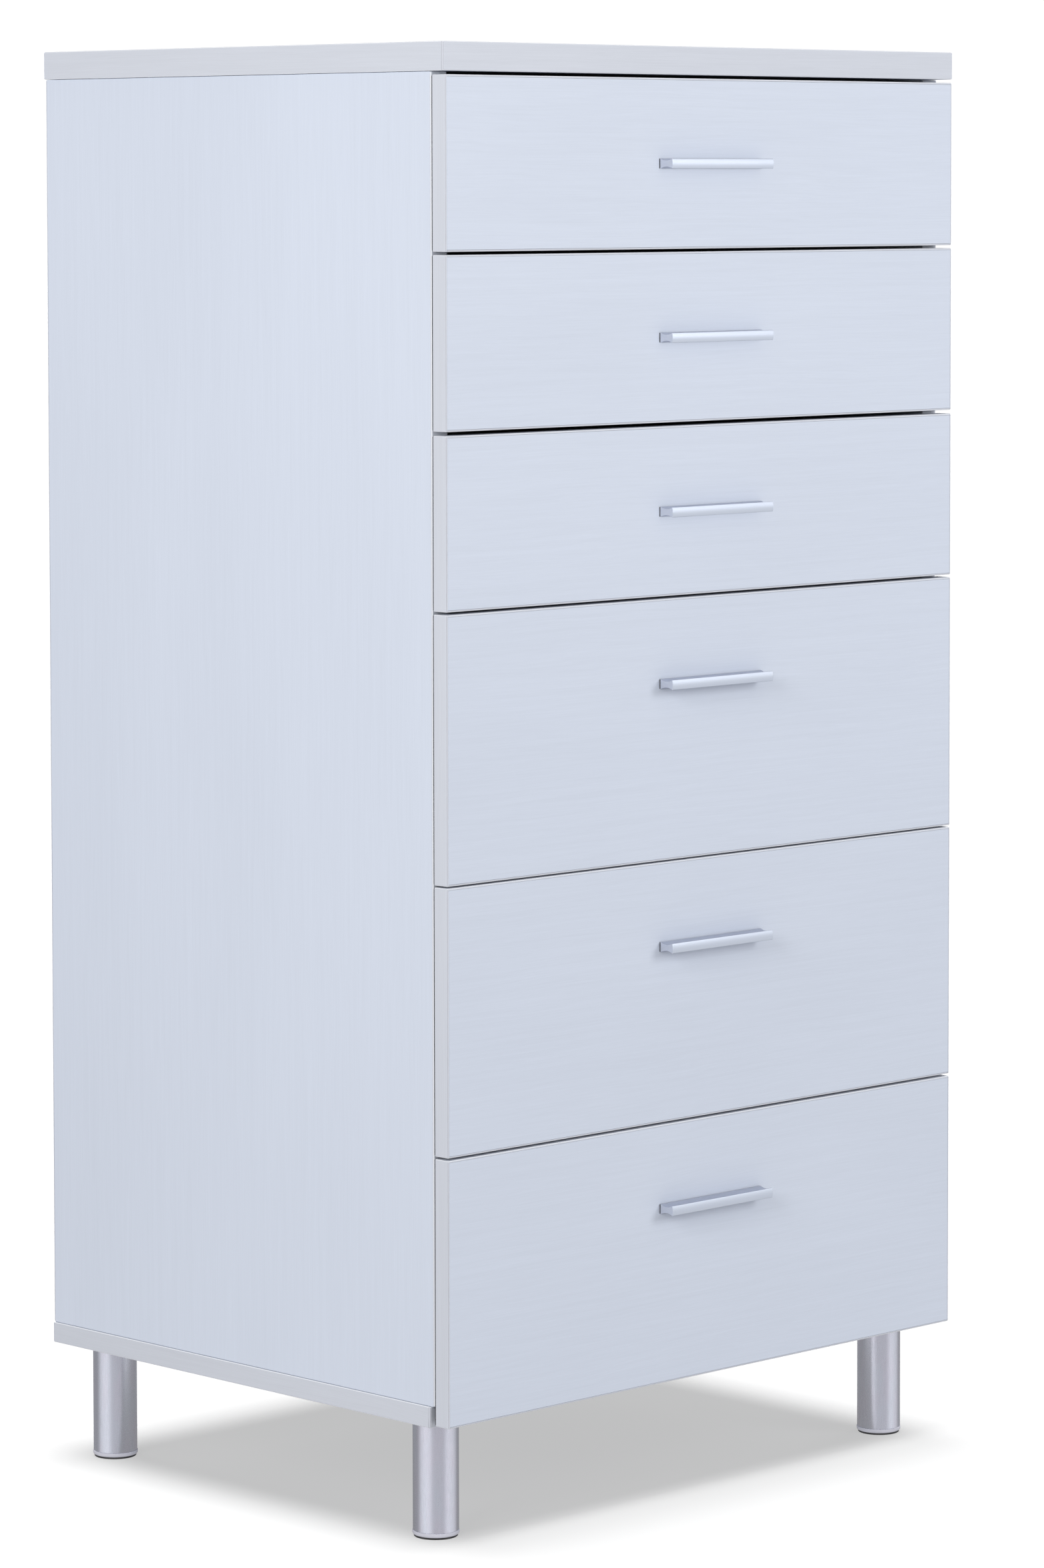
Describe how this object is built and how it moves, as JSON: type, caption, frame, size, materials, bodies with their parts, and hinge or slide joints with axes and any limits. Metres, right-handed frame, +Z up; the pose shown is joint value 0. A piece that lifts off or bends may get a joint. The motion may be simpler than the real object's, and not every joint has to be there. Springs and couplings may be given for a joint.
{
  "type": "tall chest of drawers",
  "caption": "Tall narrow chest of drawers in pale wood-grain laminate, with shallow drawers over deep ones, centred bar handles and short round metal legs.",
  "frame": {"origin": "on the floor, at the centre of the chest's plan outline, handles included", "axes": "+X to the right seen from the front, +Y from the drawer fronts towards the wall, +Z up"},
  "size_m": [0.623, 0.523, 1.238],
  "materials": {
    "laminate": "cool white wood-grain laminate on particle board, satin, finely embossed grain",
    "box_board": "smooth white foil on 12 mm particle board",
    "hardboard": "white painted thin hardboard",
    "leg_steel": "brushed along the tube, satin",
    "handle_aluminium": "satin anodised",
    "runner_steel": "white baked enamel"
  },
  "bodies": {
    "cabinet": {"top_panel": "laminate", "bottom_panel": "laminate", "side_panel_left": "laminate", "side_panel_right": "laminate", "back_panel": "hardboard", "leg_front_left": "leg_steel", "leg_front_right": "leg_steel", "leg_back_left": "leg_steel", "leg_back_right": "leg_steel", "runner_1_left": "runner_steel", "runner_1_right": "runner_steel", "runner_2_left": "runner_steel", "runner_2_right": "runner_steel", "runner_3_left": "runner_steel", "runner_3_right": "runner_steel", "runner_4_left": "runner_steel", "runner_4_right": "runner_steel", "runner_5_left": "runner_steel", "runner_5_right": "runner_steel", "runner_6_left": "runner_steel", "runner_6_right": "runner_steel"},
    "drawer_1": {"drawer_1_front": "laminate", "drawer_1_handle": "handle_aluminium", "drawer_1_side_left": "box_board", "drawer_1_side_right": "box_board", "drawer_1_back": "box_board", "drawer_1_bottom": "hardboard"},
    "drawer_2": {"drawer_2_front": "laminate", "drawer_2_handle": "handle_aluminium", "drawer_2_side_left": "box_board", "drawer_2_side_right": "box_board", "drawer_2_back": "box_board", "drawer_2_bottom": "hardboard"},
    "drawer_3": {"drawer_3_front": "laminate", "drawer_3_handle": "handle_aluminium", "drawer_3_side_left": "box_board", "drawer_3_side_right": "box_board", "drawer_3_back": "box_board", "drawer_3_bottom": "hardboard"},
    "drawer_4": {"drawer_4_front": "laminate", "drawer_4_handle": "handle_aluminium", "drawer_4_side_left": "box_board", "drawer_4_side_right": "box_board", "drawer_4_back": "box_board", "drawer_4_bottom": "hardboard"},
    "drawer_5": {"drawer_5_front": "laminate", "drawer_5_handle": "handle_aluminium", "drawer_5_side_left": "box_board", "drawer_5_side_right": "box_board", "drawer_5_back": "box_board", "drawer_5_bottom": "hardboard"},
    "drawer_6": {"drawer_6_front": "laminate", "drawer_6_handle": "handle_aluminium", "drawer_6_side_left": "box_board", "drawer_6_side_right": "box_board", "drawer_6_back": "box_board", "drawer_6_bottom": "hardboard"}
  },
  "joints": [
    {"name": "drawer_1_slide", "type": "slide", "parent": "cabinet", "child": "drawer_1", "axis": [0, -1, 0], "range_m": [0, 0.335]},
    {"name": "drawer_2_slide", "type": "slide", "parent": "cabinet", "child": "drawer_2", "axis": [0, -1, 0], "range_m": [0, 0.335]},
    {"name": "drawer_3_slide", "type": "slide", "parent": "cabinet", "child": "drawer_3", "axis": [0, -1, 0], "range_m": [0, 0.335]},
    {"name": "drawer_4_slide", "type": "slide", "parent": "cabinet", "child": "drawer_4", "axis": [0, -1, 0], "range_m": [0, 0.335]},
    {"name": "drawer_5_slide", "type": "slide", "parent": "cabinet", "child": "drawer_5", "axis": [0, -1, 0], "range_m": [0, 0.335]},
    {"name": "drawer_6_slide", "type": "slide", "parent": "cabinet", "child": "drawer_6", "axis": [0, -1, 0], "range_m": [0, 0.335]}
  ]
}
